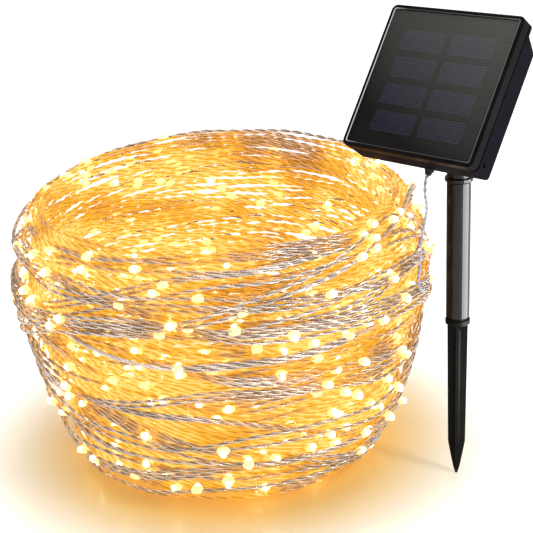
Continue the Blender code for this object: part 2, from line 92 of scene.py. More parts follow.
def build(name, verts, quads, caps, mat=None):
    """A mesh from an array of quads and a list of cap polygons."""
    mesh = bpy.data.meshes.new(name)
    verts = np.asarray(verts, dtype=np.float32)
    quads = np.asarray(quads, dtype=np.int32).reshape(-1, 4)
    mesh.vertices.add(len(verts))
    mesh.vertices.foreach_set("co", verts.ravel())
    cap_idx = [i for c in caps for i in c]
    loops = np.concatenate([quads.ravel(), np.array(cap_idx, dtype=np.int32)]) if cap_idx else quads.ravel()
    starts = list(range(0, len(quads) * 4, 4))
    totals = [4] * len(quads)
    at = len(quads) * 4
    for c in caps:
        starts.append(at)
        totals.append(len(c))
        at += len(c)
    mesh.loops.add(len(loops))
    mesh.loops.foreach_set("vertex_index", loops.astype(np.int32))
    mesh.polygons.add(len(starts))
    mesh.polygons.foreach_set("loop_start", np.array(starts, dtype=np.int32))
    mesh.polygons.foreach_set("loop_total", np.array(totals, dtype=np.int32))
    mesh.polygons.foreach_set("use_smooth", np.ones(len(starts), dtype=bool))
    mesh.update(calc_edges=True)
    mesh.validate()
    return link(mesh, name, mat)


def resample(points, step):
    points = np.asarray(points, float)
    seg = np.linalg.norm(np.diff(points, axis=0), axis=1)
    s = np.concatenate([[0.0], np.cumsum(seg)])
    n = max(int(round(s[-1] / step)), 2)
    t = np.linspace(0.0, s[-1], n + 1)
    return np.stack([np.interp(t, s, points[:, k]) for k in range(3)], 1), t


def twisted(name, points, step, mat, strands=2, strand_r=0.78 * MM, lay_r=0.70 * MM, pitch=13.0 * MM, sides=5,
            ref=(0.0, 0.0, 1.0), phase=0.0):
    """Strands twisted round one centreline, each a closed tube."""
    p, s = resample(points, step)
    t = np.gradient(p, axis=0)
    t /= np.linalg.norm(t, axis=1)[:, None]
    b = np.cross(t, np.asarray(ref)[None, :])
    b /= np.linalg.norm(b, axis=1)[:, None]
    n = np.cross(b, t)
    ang = phase + 2 * np.pi * s / pitch
    a = 2 * np.pi * np.arange(sides) / sides
    verts, quads, caps = [], [], []
    base = 0
    rings = len(p)
    for k in range(strands):
        f = ang + 2 * np.pi * k / strands
        c = p + lay_r * (np.cos(f)[:, None] * n + np.sin(f)[:, None] * b)
        th = f[:, None] + a[None, :]
        v = c[:, None, :] + strand_r * (np.cos(th)[..., None] * n[:, None, :] + np.sin(th)[..., None] * b[:, None, :])
        verts.append(v.reshape(-1, 3))
        i = np.arange(rings - 1)[:, None] * sides
        j = np.arange(sides)[None, :]
        j2 = (j + 1) % sides
        q = np.stack([base + i + j, base + i + j2, base + i + sides + j2, base + i + sides + j], -1)
        quads.append(q.reshape(-1, 4))
        caps.append([base + m for m in range(sides)][::-1])
        caps.append([base + (rings - 1) * sides + m for m in range(sides)])
        base += rings * sides
    obj = build(name, np.concatenate(verts), np.concatenate(quads), caps, mat)
    import bmesh
    bm = bmesh.new()
    bm.from_mesh(obj.data)
    bmesh.ops.recalc_face_normals(bm, faces=bm.faces)
    bm.to_mesh(obj.data)
    bm.free()
    # how far each point stands out of the groove between the strands; the wire material uses it to paint shade into
    # the grooves
    co = np.concatenate(verts).reshape(strands, rings, sides, 3)
    out = np.linalg.norm(co - p[None, :, None, :], axis=-1) / (lay_r + strand_r)
    out = np.clip((out - 0.35) / 0.6, 0.0, 1.0)
    groove = obj.data.attributes.new("groove", 'FLOAT', 'POINT')
    groove.data.foreach_set("value", out.reshape(-1).astype(np.float32))
    obj["rings"] = rings
    return obj, p


def catmull(route, per):
    out = []
    for i in range(len(route) - 1):
        p0 = route[max(i - 1, 0)]
        p1, p2 = route[i], route[i + 1]
        p3 = route[min(i + 2, len(route) - 1)]
        for k in range(per):
            t = k / per
            out.append(0.5 * ((2 * p1) + (p2 - p0) * t + (2 * p0 - 5 * p1 + 4 * p2 - p3) * t * t
                              + (3 * p1 - p0 - 3 * p2 + p3) * t ** 3))
    out.append(route[-1])
    return out


# ----------------------------------------------------------------- materials
def new_mat(name):
    mat = bpy.data.materials.new(name)
    mat.use_nodes = True
    nt = mat.node_tree
    return mat, nt, nt.nodes["Principled BSDF"]


def setp(sh, **kw):
    for k, v in kw.items():
        key = k.replace("_", " ")
        sock = sh.inputs[key]
        if hasattr(sock.default_value, "__len__") and len(sock.default_value) == 4 and len(v) == 3:
            v = (*v, 1.0)
        sock.default_value = v


def node(nt, kind, **props):
    nd = nt.nodes.new(kind)
    for k, v in props.items():
        setattr(nd, k, v)
    return nd


def moulded(name, dark, light, rough, grain=9000.0, grain_depth=0.00002, spec=0.5, cloud=60.0, coat=0.0):
    """Moulded plastic: faint cloudy colour, uneven gloss and a fine grain."""
    mat, nt, sh = new_mat(name)
    L = nt.links
    co = node(nt, "ShaderNodeTexCoord")
    n1 = node(nt, "ShaderNodeTexNoise")
    n1.inputs["Scale"].default_value = cloud
    n1.inputs["Detail"].default_value = 5.0
    L.new(co.outputs["Object"], n1.inputs["Vector"])
    ramp = node(nt, "ShaderNodeValToRGB")
    ramp.color_ramp.elements[0].position = 0.35
    ramp.color_ramp.elements[0].color = (*dark, 1)
    ramp.color_ramp.elements[1].position = 0.7
    ramp.color_ramp.elements[1].color = (*light, 1)
    L.new(n1.outputs["Fac"], ramp.inputs["Fac"])
    L.new(ramp.outputs["Color"], sh.inputs["Base Color"])
    rr = node(nt, "ShaderNodeMapRange")
    rr.inputs["To Min"].default_value = rough * 0.85
    rr.inputs["To Max"].default_value = min(1.0, rough * 1.2)
    L.new(n1.outputs["Fac"], rr.inputs["Value"])
    L.new(rr.outputs["Result"], sh.inputs["Roughness"])
    n2 = node(nt, "ShaderNodeTexNoise")
    n2.inputs["Scale"].default_value = grain
    n2.inputs["Detail"].default_value = 2.0
    L.new(co.outputs["Object"], n2.inputs["Vector"])
    bump = node(nt, "ShaderNodeBump")
    bump.inputs["Strength"].default_value = 0.35
    bump.inputs["Distance"].default_value = grain_depth
    L.new(n2.outputs["Fac"], bump.inputs["Height"])
    L.new(bump.outputs["Normal"], sh.inputs["Normal"])
    setp(sh, Specular_IOR_Level=spec, Coat_Weight=coat)
    return mat


M_FRAME = moulded("frame_gloss_black", (0.003, 0.003, 0.0035), (0.006, 0.006, 0.007), 0.28, spec=0.04, grain=5000)
M_CASE = moulded("case_matte_black", (0.005, 0.005, 0.008), (0.010, 0.010, 0.015), 0.55, grain=1500, grain_depth=0.00014, spec=0.02)
M_STAKE = moulded("stake_satin", (0.002, 0.002, 0.002), (0.005, 0.005, 0.005), 0.2, spec=0.26, grain=4000)
M_SPIKE = moulded("spike_satin", (0.003, 0.003, 0.003), (0.006, 0.006, 0.006), 0.28, spec=0.05, grain=3000)
M_RUBBER = moulded("soft_rubber", (0.012, 0.012, 0.012), (0.022, 0.022, 0.022), 0.62, spec=0.3)
M_BUTTON = moulded("button_rubber", (0.09, 0.09, 0.095), (0.12, 0.12, 0.125), 0.6, spec=0.3)
M_BOARD = moulded("backing_board", (0.009, 0.010, 0.006), (0.017, 0.019, 0.012), 0.5, spec=0.1)
M_PCB = moulded("pcb_green", (0.01, 0.09, 0.03), (0.015, 0.12, 0.045), 0.4, cloud=200)
M_SLEEVE = moulded("battery_sleeve", (0.03, 0.18, 0.07), (0.045, 0.23, 0.1), 0.3, cloud=100)
M_STEEL = moulded("plated_steel", (0.45, 0.45, 0.46), (0.62, 0.62, 0.63), 0.28, cloud=300)
M_STEEL.node_tree.nodes["Principled BSDF"].inputs["Metallic"].default_value = 1.0


def head_axes(nt):
    """Sockets with the place across and up the face, in metres."""
    co = node(nt, "ShaderNodeTexCoord")
    sub = node(nt, "ShaderNodeVectorMath", operation='SUBTRACT')
    sub.inputs[1].default_value = HINGE
    nt.links.new(co.outputs["Object"], sub.inputs[0])
    outs = []
    for axis in (U, V):
        dot = node(nt, "ShaderNodeVectorMath", operation='DOT_PRODUCT')
        dot.inputs[1].default_value = axis
        nt.links.new(sub.outputs[0], dot.inputs[0])
        outs.append(dot.outputs["Value"])
    return outs, co


def math_node(nt, op, a, b=None, clamp=False):
    nd = node(nt, "ShaderNodeMath", operation=op, use_clamp=clamp)
    for i, v in enumerate((a, b)):
        if v is None:
            continue
        if isinstance(v, (int, float)):
            nd.inputs[i].default_value = v
        else:
            nt.links.new(v, nd.inputs[i])
    return nd.outputs[0]


# solar cells: crystalline blue-violet with fine silver fingers
M_CELL, nt, sh = new_mat("solar_cell_silicon")
(cx, cy), co = head_axes(nt)
f = math_node(nt, 'FRACT', math_node(nt, 'DIVIDE', math_node(nt, 'ADD', cy, 1.0), 0.00158))
finger = math_node(nt, 'LESS_THAN', math_node(nt, 'ABSOLUTE', math_node(nt, 'SUBTRACT', f, 0.5)), 0.16)
vor = node(nt, "ShaderNodeTexVoronoi")
vor.inputs["Scale"].default_value = 260.0
nt.links.new(co.outputs["Object"], vor.inputs["Vector"])
ramp = node(nt, "ShaderNodeValToRGB")
ramp.color_ramp.elements[0].color = (0.062, 0.048, 0.215, 1)
ramp.color_ramp.elements[1].color = (0.098, 0.076, 0.300, 1)
nt.links.new(vor.outputs["Color"], ramp.inputs["Fac"])
mix = node(nt, "ShaderNodeMix", data_type='RGBA')
nt.links.new(finger, mix.inputs["Factor"])
nt.links.new(ramp.outputs["Color"], mix.inputs[6])
mix.inputs[7].default_value = (0.42, 0.37, 0.62, 1)
nt.links.new(mix.outputs[2], sh.inputs["Base Color"])
setp(sh, Roughness=0.4, Specular_IOR_Level=0.15)

# cover: clear resin over the cells; its colour is a painted reflection, lighter towards the top right and near black
# at the bottom left
M_COVER, nt, sh = new_mat("panel_cover_clear")
(cx, cy), co = head_axes(nt)
noise = node(nt, "ShaderNodeTexNoise")
noise.inputs["Scale"].default_value = 35.0
nt.links.new(co.outputs["Object"], noise.inputs["Vector"])
rr = node(nt, "ShaderNodeMapRange")
rr.inputs["To Min"].default_value = 0.05
rr.inputs["To Max"].default_value = 0.12
nt.links.new(noise.outputs["Fac"], rr.inputs["Value"])
nt.links.new(rr.outputs["Result"], sh.inputs["Roughness"])
# painted reflection: the cover's colour runs from dark at the bottom left to lighter at the top right
grad = node(nt, "ShaderNodeMapRange")
grad.inputs["From Min"].default_value = -0.045
grad.inputs["From Max"].default_value = 0.075
nt.links.new(math_node(nt, 'ADD', math_node(nt, 'MULTIPLY', cx, 0.55), cy), grad.inputs["Value"])
ramp = node(nt, "ShaderNodeValToRGB")
ramp.color_ramp.elements[0].color = (0.002, 0.002, 0.002, 1)
ramp.color_ramp.elements[1].color = (0.125, 0.125, 0.112, 1)
nt.links.new(grad.outputs["Result"], ramp.inputs["Fac"])
nt.links.new(ramp.outputs["Color"], sh.inputs["Base Color"])
setp(sh, Alpha=0.52, Specular_IOR_Level=0.35, IOR=1.45)

# twisted wire: clear jacket over silvered strands; "lit" holds how strongly
# the lamps around a stretch of wire would shine on it, and the material paints that lamp light on as an amber glow
# and a warmer base colour
def wire_material(name, tint, lit, groove_shade_colour=(0.48, 0.40, 0.33)):
    mat, nt, sh = new_mat(name)
    co = node(nt, "ShaderNodeTexCoord")
    n1 = node(nt, "ShaderNodeTexNoise")
    n1.inputs["Scale"].default_value = 45.0
    n1.inputs["Detail"].default_value = 4.0
    nt.links.new(co.outputs["Object"], n1.inputs["Vector"])
    ramp = node(nt, "ShaderNodeValToRGB")
    ramp.color_ramp.elements[0].position = 0.3
    ramp.color_ramp.elements[0].color = (0.50 * tint[0], 0.43 * tint[1], 0.39 * tint[2], 1)
    ramp.color_ramp.elements[1].position = 0.65
    ramp.color_ramp.elements[1].color = (0.92 * tint[0], 0.83 * tint[1], 0.80 * tint[2], 1)
    nt.links.new(n1.outputs["Fac"], ramp.inputs["Fac"])
    nt.links.new(ramp.outputs["Color"], sh.inputs["Base Color"])
    n2 = node(nt, "ShaderNodeTexNoise")
    n2.inputs["Scale"].default_value = 1500.0
    nt.links.new(co.outputs["Object"], n2.inputs["Vector"])
    bump = node(nt, "ShaderNodeBump")
    bump.inputs["Strength"].default_value = 0.3
    bump.inputs["Distance"].default_value = 0.0001
    nt.links.new(n2.outputs["Fac"], bump.inputs["Height"])
    nt.links.new(bump.outputs["Normal"], sh.inputs["Normal"])
    if lit:
        # painted lamp light: "lit" makes the wire glow amber and warms its base colour
        attr = node(nt, "ShaderNodeAttribute", attribute_name="lit")
        glow = node(nt, "ShaderNodeValToRGB")
        els = glow.color_ramp.elements
        els[0].position, els[0].color = 0.0, (0.0, 0.0, 0.0, 1)
        els[1].position, els[1].color = 1.0, (1.0, 0.74, 0.22, 1)
        for pos, col in ((0.2, (0.04, 0.015, 0.001)), (0.42, (0.24, 0.095, 0.003)), (0.62, (0.60, 0.25, 0.008)), (0.82, (0.86, 0.44, 0.03))):
            e = els.new(pos)
            e.color = (*col, 1)
        nt.links.new(attr.outputs["Fac"], glow.inputs["Fac"])
        nt.links.new(glow.outputs["Color"], sh.inputs["Emission Color"])
        setp(sh, Emission_Strength=1.0)
        much = node(nt, "ShaderNodeMapRange")
        much.inputs["From Min"].default_value = 0.22
        much.inputs["From Max"].default_value = 0.75
        nt.links.new(attr.outputs["Fac"], much.inputs["Value"])
        warm = node(nt, "ShaderNodeMix", data_type='RGBA')
        nt.links.new(much.outputs["Result"], warm.inputs["Factor"])
        nt.links.new(ramp.outputs["Color"], warm.inputs[6])
        warm.inputs[7].default_value = (0.30, 0.13, 0.014, 1)
        tone = warm.outputs[2]
    else:
        tone = ramp.outputs["Color"]
    # painted shade: the base colour is darkened in the grooves between the strands
    cleft = node(nt, "ShaderNodeAttribute", attribute_name="groove")
    dark = node(nt, "ShaderNodeMix", data_type='RGBA', blend_type='MULTIPLY')
    dark.inputs["Factor"].default_value = 1.0
    shade = node(nt, "ShaderNodeValToRGB")
    shade.color_ramp.elements[0].color = (*groove_shade_colour, 1)
    shade.color_ramp.elements[1].color = (1, 1, 1, 1)
    shade.color_ramp.elements[1].position = 0.75
    nt.links.new(cleft.outputs["Fac"], shade.inputs["Fac"])
    nt.links.new(tone, dark.inputs[6])
    nt.links.new(shade.outputs["Color"], dark.inputs[7])
    nt.links.new(dark.outputs[2], sh.inputs["Base Color"])
    setp(sh, Metallic=0.75, Roughness=0.22, Coat_Weight=0.4, Coat_Roughness=0.1)
    return mat


M_WIRE = wire_material("clear_twisted_wire", (1.0, 0.975, 0.90), True)
M_LEAD = moulded("lead_jacket", (0.46, 0.45, 0.56), (0.60, 0.59, 0.70), 0.4, spec=0.3, grain=3000, cloud=120.0)

# lamp drop: clear yellow resin that glows, and the hot chip in it
M_DROP, nt, sh = new_mat("lamp_resin")
co = node(nt, "ShaderNodeTexCoord")
n1 = node(nt, "ShaderNodeTexNoise")
n1.inputs["Scale"].default_value = 500.0
nt.links.new(co.outputs["Object"], n1.inputs["Vector"])
ramp = node(nt, "ShaderNodeValToRGB")
ramp.color_ramp.elements[0].color = (1.0, 0.66, 0.20, 1)
ramp.color_ramp.elements[1].color = (1.0, 0.82, 0.40, 1)
nt.links.new(n1.outputs["Fac"], ramp.inputs["Fac"])
nt.links.new(ramp.outputs["Color"], sh.inputs["Base Color"])
nt.links.new(ramp.outputs["Color"], sh.inputs["Emission Color"])
setp(sh, Roughness=0.12, Emission_Strength=0.85, Coat_Weight=0.6)

M_SLEEVE_CLEAR, nt, sh = new_mat("lamp_clear_sleeve")
co = node(nt, "ShaderNodeTexCoord")
n1 = node(nt, "ShaderNodeTexNoise")
n1.inputs["Scale"].default_value = 260.0
n1.inputs["Detail"].default_value = 4.0
nt.links.new(co.outputs["Object"], n1.inputs["Vector"])
ramp = node(nt, "ShaderNodeValToRGB")
ramp.color_ramp.elements[0].position, ramp.color_ramp.elements[0].color = 0.35, (0.62, 0.36, 0.07, 1)
ramp.color_ramp.elements[1].position, ramp.color_ramp.elements[1].color = 0.65, (0.88, 0.70, 0.30, 1)
nt.links.new(n1.outputs["Fac"], ramp.inputs["Fac"])
nt.links.new(ramp.outputs["Color"], sh.inputs["Base Color"])
nt.links.new(ramp.outputs["Color"], sh.inputs["Emission Color"])
setp(sh, Roughness=0.2, Emission_Strength=0.55, Coat_Weight=0.5, Alpha=0.72)

M_CHIP, nt, sh = new_mat("lamp_chip")
co = node(nt, "ShaderNodeTexCoord")
n1 = node(nt, "ShaderNodeTexNoise")
n1.inputs["Scale"].default_value = 800.0
nt.links.new(co.outputs["Object"], n1.inputs["Vector"])
ramp = node(nt, "ShaderNodeValToRGB")
ramp.color_ramp.elements[0].color = (1.0, 0.86, 0.5, 1)
ramp.color_ramp.elements[1].color = (1.0, 0.93, 0.68, 1)
nt.links.new(n1.outputs["Fac"], ramp.inputs["Fac"])
nt.links.new(ramp.outputs["Color"], sh.inputs["Base Color"])
nt.links.new(ramp.outputs["Color"], sh.inputs["Emission Color"])
setp(sh, Roughness=0.3, Emission_Strength=9.0)

# ------------------------------------------------------------------ the lead
GLAND_X, GLAND_Z, CASE_HALF, GAP = 8.0 * MM, 19.5 * MM, 49.5 * MM, 0.3 * MM
tip = head_point(GLAND_X, -CASE_HALF - GAP - 4.0 * MM - GAP, GLAND_Z)
LEAD_ROUTE = [tip, tip - V * 4.0 * MM,
              Vector((-0.0286, -0.0436, 0.2280)), Vector((-0.0272, -0.0410, 0.2190)),
              Vector((-0.0274, -0.0360, 0.2090)), Vector((-0.0282, -0.0310, 0.1990)),
              Vector((-0.0288, -0.0260, 0.1890)), Vector((-0.0288, -0.0210, 0.1785)),
              Vector((-0.0283, -0.0165, 0.1685)), Vector((-0.0290, -0.0138, 0.1600))]
lead_all = np.array([tuple(p) for p in catmull(LEAD_ROUTE, 6)])
LEAD_SPLIT = 0.036            # along the lead, where it passes from the head to the neck
LEAD_END = 0.110              # along the lead, inside the wound string


def declare(p):
    every = max(1, len(p) // 1500)
    path = [tuple(map(float, q)) for q in p[::every]]
    if tuple(path[-1]) != tuple(map(float, p[-1])):
        path.append(tuple(map(float, p[-1])))


# ------------------------------------------------------------ the wound string
COIL_X, COIL_Y = -0.163, 0.0767
Z_IN = np.array([0.5, 20, 60, 110, 150, 185, 198, 204]) * MM
R_IN = np.array([92, 98, 108, 118, 121, 122, 126, 131]) * MM
Z_OUT = np.array([0.5, 6, 25, 60, 100, 135, 160, 180, 196, 204]) * MM
R_OUT = np.array([108, 118, 128, 140, 152, 157.5, 156.5, 152, 144, 136]) * MM
WIRE_D = 2.96 * MM
TWIST = 22.0 * MM
LENGTH_GOAL = 132.0
CORDS = 16


def string_path():
    """One line wound round and round. Two close inner windings make the wall;
    over them groups of one to four turns lie side by side, each group tilted
    its own way and in its own layer."""
    groups = [(3, 132.0 * MM, 12.0 * MM, 2.0, 0.9, rng.uniform(0, 2 * math.pi, 4), rng.uniform(0.5, 1.0, 4), 0.0)]
    for turns, f0, z_from, z_to in ((34, 0.08, 8.0, 199.0), (34, 0.30, 199.0, 6.0), (26, 0.58, 6.0, 196.0)):
        groups.append((turns, z_from * MM, 5.0 * MM, rng.uniform(0, 6.28), f0, rng.uniform(0, 2 * math.pi, 4), rng.uniform(0.5, 1.0, 4),
                       (z_to - z_from) * MM / turns))
    made = sum(g[0] * 0.76 for g in groups)
    k = 0
    while made < LENGTH_GOAL:
        turns = int(rng.choice([1, 1, 2, 2, 3, 4]))
        u = (k * 0.61803398875 + 0.13) % 1.0
        z0 = (6.0 + 190.0 * (1 - (1 - u) ** 1.12)) * MM
        amp = rng.uniform(8.0, 60.0) * MM if k % 3 else rng.uniform(3.0, 12.0) * MM
        amp = min(amp, max(1.5 * MM, z0 - 4.5 * MM), max(2.0 * MM, 200 * MM - z0))
        phi = rng.uniform(0, 2 * math.pi)
        layer = 0.5 + 0.5 * ((k * 0.754877666 + 0.3) % 1.0)
        groups.append((turns, z0, amp, phi, layer, rng.uniform(0, 2 * math.pi, 4), rng.uniform(0.5, 1.0, 4), WIRE_D * 1.06))
        r = np.interp(z0, Z_OUT, R_OUT) * 0.96
        made += turns * 2 * math.pi * r
        k += 1
    groups.append((1, 34.0 * MM, 5.0 * MM, 1.0, 0.9, rng.uniform(0, 2 * math.pi, 4), rng.uniform(0.5, 1.0, 4), 0.0))
    pts = []
    start = math.atan2(-0.0905, 0.134)
    s0 = 0.0
    n_per = 150
    prev = None
    for gi, (turns, z0, amp, phi, layer, ph, wa, rise) in enumerate(groups):
        n = turns * n_per
        s = np.arange(n) / n_per
        th = start + 2 * math.pi * (s0 + s)
        if turns > 8:
            up = s / turns if rise > 0 else 1.0 - s / turns
            z_low = z0 if rise > 0 else z0 + turns * rise
            zc = z_low + abs(rise) * turns * up ** 0.80      # closer turns towards the top
            a = amp * (0.4 + 0.6 * np.sin(0.9 * s + ph[0]) ** 2)
            room = np.clip(np.minimum(zc - 3 * MM, 201 * MM - zc) / (30 * MM), 0.12, 1.0)
            z = zc + room * (a * np.sin(th - phi + 0.22 * s) + 4.5 * MM * np.sin(2 * th + ph[1] + 0.35 * s)
                             + 3.0 * MM * np.sin(3 * th + ph[0] - 0.4 * s) + 1.6 * MM * np.sin(5 * th + ph[2] + 0.5 * s))
        else:
            zc = z0 + (s - turns / 2.0) * rise
            a = amp * (1.0 + 0.10 * np.sin(1.7 * s + ph[1]))
            room = float(np.clip(min(z0 - 3 * MM, 200 * MM - z0) / (45 * MM), 0.10, 1.0))
            z = (zc + a * np.sin(th - phi) + room * (21.0 * MM * (wa[0] - 0.42) * np.sin(2 * th + ph[0] + 0.12 * s)
                                                     + 15.0 * MM * (wa[1] - 0.42) * np.sin(3 * th + ph[2] + 0.16 * s)
                                                     + 5.0 * MM * (wa[2] - 0.4) * np.sin(5 * th + ph[1] + 0.2 * s)))
        z = z + 0.7 * MM * np.sin(11 * th + ph[2] + 0.9 * s)
        z = np.clip(z, 2.2 * MM, 202.5 * MM)
        f = layer + 0.08 * np.sin(3 * th + ph[3] + 0.2 * s) + 0.05 * np.sin(7 * th + ph[1])
        f = np.clip(f, 0.0, 1.0)
        params = np.stack([z, f], 1)
        if prev is not None:
            m = int(0.22 * n_per)
            w = 0.5 - 0.5 * np.cos(np.pi * np.arange(m) / m)
            params[:m] = prev[None, :] * (1 - w)[:, None] + params[:m] * w[:, None]
        prev = params[-1].copy()
        z, f = params[:, 0], params[:, 1]
        ri = np.interp(z, Z_IN, R_IN) + 1.6 * MM
        ro = np.interp(z, Z_OUT, R_OUT) - 1.6 * MM
        r = ri + (ro - ri) * f
        # a few loops sag away from the wall at the sides
        side = np.maximum(0.0, np.cos(th - wa[3] * 9.0)) ** 8
        if layer > 0.85:
            r = r + side * (3.0 * MM) * wa[2]
        z = z + 11.0 * MM * (z / 0.2) ** 4 * np.maximum(0.0, np.sin(th)) ** 1.2
        pts.append(np.stack([COIL_X + r * np.cos(th), COIL_Y + r * np.sin(th), z], 1))
        s0 += turns
    p = np.concatenate(pts)
    # ease the line where groups meet
    for _ in range(3):
        q = p.copy()
        q[1:-1] = 0.25 * p[:-2] + 0.5 * p[1:-1] + 0.25 * p[2:]
        p = q
    return p


p = string_path()
join = np.array(lead_all[-1])
lead_in = np.array([tuple(q) for q in catmull([Vector(join), Vector(join + np.array([0.0005, -0.0005, -0.007])), Vector(p[6] * 0.35 + join * 0.65 + np.array([0.001, -0.001, -0.004])), Vector(p[12])], 8)])
p = np.concatenate([lead_in[:-1], p[12:]])
whole = np.concatenate([lead_all[:-1], p])
whole, along = resample(whole, 0.5 * MM)
i1, i2 = int(np.searchsorted(along, LEAD_SPLIT)), int(np.searchsorted(along, LEAD_END))
LEAD = dict(strand_r=0.60 * MM, lay_r=0.55 * MM, pitch=9.0 * MM, sides=8, ref=(1.0, 0.3, 0.0))
lead_up, p_up = twisted("lead_upper", whole[:i1 + 1], 0.5 * MM, M_LEAD, **LEAD)
lead_low, p_low = twisted("lead_lower", whole[i1:i2 + 1], 0.5 * MM, M_LEAD, phase=2 * math.pi * float(along[i1]) / (9.0 * MM), **LEAD)
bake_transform(lead_up)
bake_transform(lead_low)
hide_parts("lead_wire")
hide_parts("lead_wire")
declare(p_up)
declare(p_low)
p = whole[i2:]
p, s = resample(p, 2.2 * MM)
total = float(s[-1])
cuts = np.linspace(0, len(p) - 1, CORDS + 1).astype(int)

LAMP_STEP = 0.27
lamp_at = np.arange(0.12, total - 0.02, LAMP_STEP)
lamp_at = lamp_at + rng.uniform(-0.02, 0.02, len(lamp_at))


def drop_shape(rings=6, sides=8):
    """A resin drop along its own X, pinched at both ends, with a blunt nose on +Z."""
    v = []
    for i in range(rings + 1):
        t = -1 + 2 * i / rings
        w = math.sqrt(max(0.0, 1 - t * t)) ** 0.85
        for j in range(sides):
            a = 2 * math.pi * j / sides
            y, z = w * math.cos(a), w * math.sin(a)
            if z > 0:
                z *= 1.35
            v.append((t, y, z))
    q = [(i * sides + j, i * sides + (j + 1) % sides, (i + 1) * sides + (j + 1) % sides, (i + 1) * sides + j)
         for i in range(rings) for j in range(sides)]
    return np.array(v), np.array(q)


def sleeve_shape(points=6):
    """A crumpled clear sleeve: a thin star with its tips bent, across X and Y."""
    v, q = [], []
    n = points * 2
    for i in range(5):
        lat = -math.pi / 2 + math.pi * i / 4
        for j in range(n):
            a = 2 * math.pi * j / n
            reach = (1.0 if j % 4 == 0 else 0.78) if j % 2 == 0 else 0.46
            v.append((reach * math.cos(lat) * math.cos(a), reach * math.cos(lat) * math.sin(a),
                      math.sin(lat) + (0.9 if j % 4 == 0 else -0.4) * math.cos(lat) * (j % 2 == 0)))
    q = [(i * n + j, i * n + (j + 1) % n, (i + 1) * n + (j + 1) % n, (i + 1) * n + j) for i in range(4) for j in range(n)]
    return np.array(v), np.array(q)


DV, DQ = drop_shape()
CV, CQ = drop_shape(4, 6)
SV, SQ = sleeve_shape()


def lamps(name, centres, tangents, outs, size, shape, mat, lift):
    sv, sq = shape
    verts, quads, caps = [], [], []
    base = 0
    for c, t, o, k in zip(centres, tangents, outs, range(len(centres))):
        b = np.cross(o, t)
        m = np.stack([t * size[0], b * size[1], o * size[2]], 0)
        verts.append(sv @ m + c + o * lift)
        quads.append(sq + base)
        base += len(sv)
    obj = build(name, np.concatenate(verts), np.concatenate(quads), caps, mat)
    import bmesh
    bm = bmesh.new()
    bm.from_mesh(obj.data)
    bmesh.ops.remove_doubles(bm, verts=bm.verts, dist=1e-6)
    bmesh.ops.recalc_face_normals(bm, faces=bm.faces)
    bm.to_mesh(obj.data)
    bm.free()
    for poly in obj.data.polygons:
        poly.use_smooth = True
    return obj


# painted lamp light: how strongly the lamps would shine on each point of the string, with more glow deeper inside the
# coil, lower down and at the coil's left and right sides
from mathutils.kdtree import KDTree

lamp_idx = np.clip(((lamp_at / total) * (len(p) - 1)).astype(int), 2, len(p) - 3)
tree = KDTree(len(lamp_idx))
for i, c in enumerate(p[lamp_idx]):
    tree.insert(Vector(c), i)
tree.balance()
lit = np.zeros(len(p))
for i in range(0, len(p), 3):
    near = tree.find_range(Vector(p[i]), 0.032)
    lit[i:i + 3] = sum(math.exp(-(d / 0.011) ** 2) + 0.16 * math.exp(-(d / 0.024) ** 2) for _, _, d in near)
rad = np.hypot(p[:, 0] - COIL_X, p[:, 1] - COIL_Y)
r_o = np.interp(p[:, 2], Z_OUT, R_OUT)
r_i = np.interp(p[:, 2], Z_IN, R_IN)
depth = np.clip((r_o - rad) / np.maximum(r_o - r_i, 1e-4), 0.0, 1.0)
low = np.clip(1.12 - p[:, 2] / 0.50, 0.6, 1.1)
deep = np.clip((depth - 0.10) / 0.42, 0.0, 1.0)
wave = 0.5 + 0.5 * np.sin(p[:, 2] * 70.0 + 3.0 * np.sin(np.arctan2(p[:, 1] - COIL_Y, p[:, 0] - COIL_X) * 4.0))
turn_no = (np.arange(len(p)) * (total / len(p)) / 0.8).astype(int)
vary = np.random.default_rng(5).uniform(0.78, 1.12, int(turn_no.max()) + 2)
vary = np.interp(np.arange(len(p)) * (total / len(p)) / 0.8, np.arange(len(vary)), vary)
lit = 0.40 * lit * (0.45 + 0.65 * deep) + deep * low * vary * (0.56 + 0.22 * wave)
# painted light: more glow at the coil's left and right sides
sides = np.abs(p[:, 0] - COIL_X) / np.maximum(rad, 1e-4)
lit = np.clip(lit + 0.14 * sides ** 6, 0.0, 1.0)

